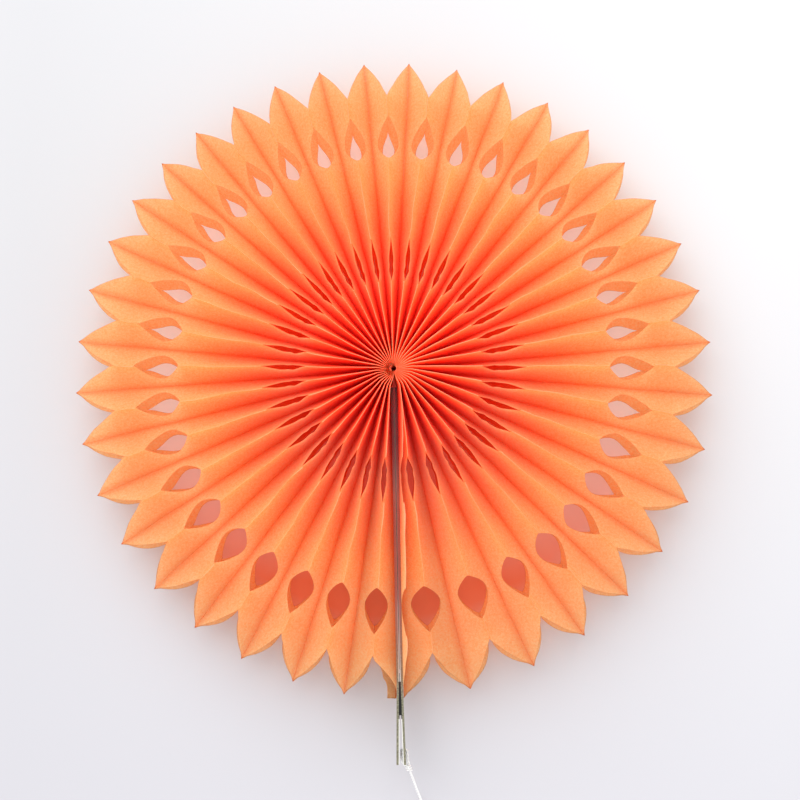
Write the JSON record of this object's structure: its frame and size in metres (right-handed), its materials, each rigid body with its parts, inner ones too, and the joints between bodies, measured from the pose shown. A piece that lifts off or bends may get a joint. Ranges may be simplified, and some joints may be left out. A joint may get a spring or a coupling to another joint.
{
  "type": "paper fan rosette",
  "caption": "Round tissue-paper fan with a pointed die-cut rim and leaf-shaped holes, held open by greyboard strips that form its handle, with a hanging string.",
  "frame": {"origin": "the middle of the underside of the fan's box, string left out; the hub stands over x 0.17 mm, y 15.02 mm", "axes": "+Z out of the fan's face, -Y along the handle, +X to the right as the face is seen"},
  "size_m": [0.2992, 0.3777, 0.0356],
  "materials": {
    "tissue": "matt dyed tissue paper",
    "greyboard": "grey board, cut edges",
    "tape": "double-sided tape",
    "pad": "black foam adhesive pad",
    "thread": "cotton thread",
    "string": "white twisted cotton string"
  },
  "bodies": {
    "root": {"tissue_cell_01": "tissue", "tissue_cell_02": "tissue", "tissue_cell_03": "tissue", "tissue_cell_04": "tissue", "tissue_cell_05": "tissue", "tissue_cell_06": "tissue", "tissue_cell_07": "tissue", "tissue_cell_08": "tissue", "tissue_cell_09": "tissue", "tissue_cell_10": "tissue", "tissue_cell_11": "tissue", "tissue_cell_12": "tissue", "tissue_cell_13": "tissue", "tissue_cell_14": "tissue", "tissue_cell_15": "tissue", "tissue_cell_16": "tissue", "tissue_cell_17": "tissue", "tissue_cell_18": "tissue", "tissue_cell_19": "tissue", "tissue_cell_20": "tissue", "tissue_cell_21": "tissue", "tissue_cell_22": "tissue", "tissue_cell_23": "tissue", "tissue_cell_24": "tissue", "tissue_cell_25": "tissue", "tissue_cell_26": "tissue", "tissue_cell_27": "tissue", "tissue_cell_28": "tissue", "tissue_cell_29": "tissue", "tissue_cell_30": "tissue", "tissue_cell_31": "tissue", "tissue_cell_32": "tissue", "tissue_cell_33": "tissue", "tissue_cell_34": "tissue", "tissue_cell_35": "tissue", "tissue_cell_36": "tissue", "tissue_cell_37": "tissue", "tissue_cell_38": "tissue", "end_leaf": "tissue", "left_board": "greyboard", "right_board": "greyboard", "joining_tape": "tape", "fastening_pad": "pad", "centre_thread": "thread", "hanging_loop": "string", "string_run": "string", "string_coil": "string"}
  },
  "joints": []
}
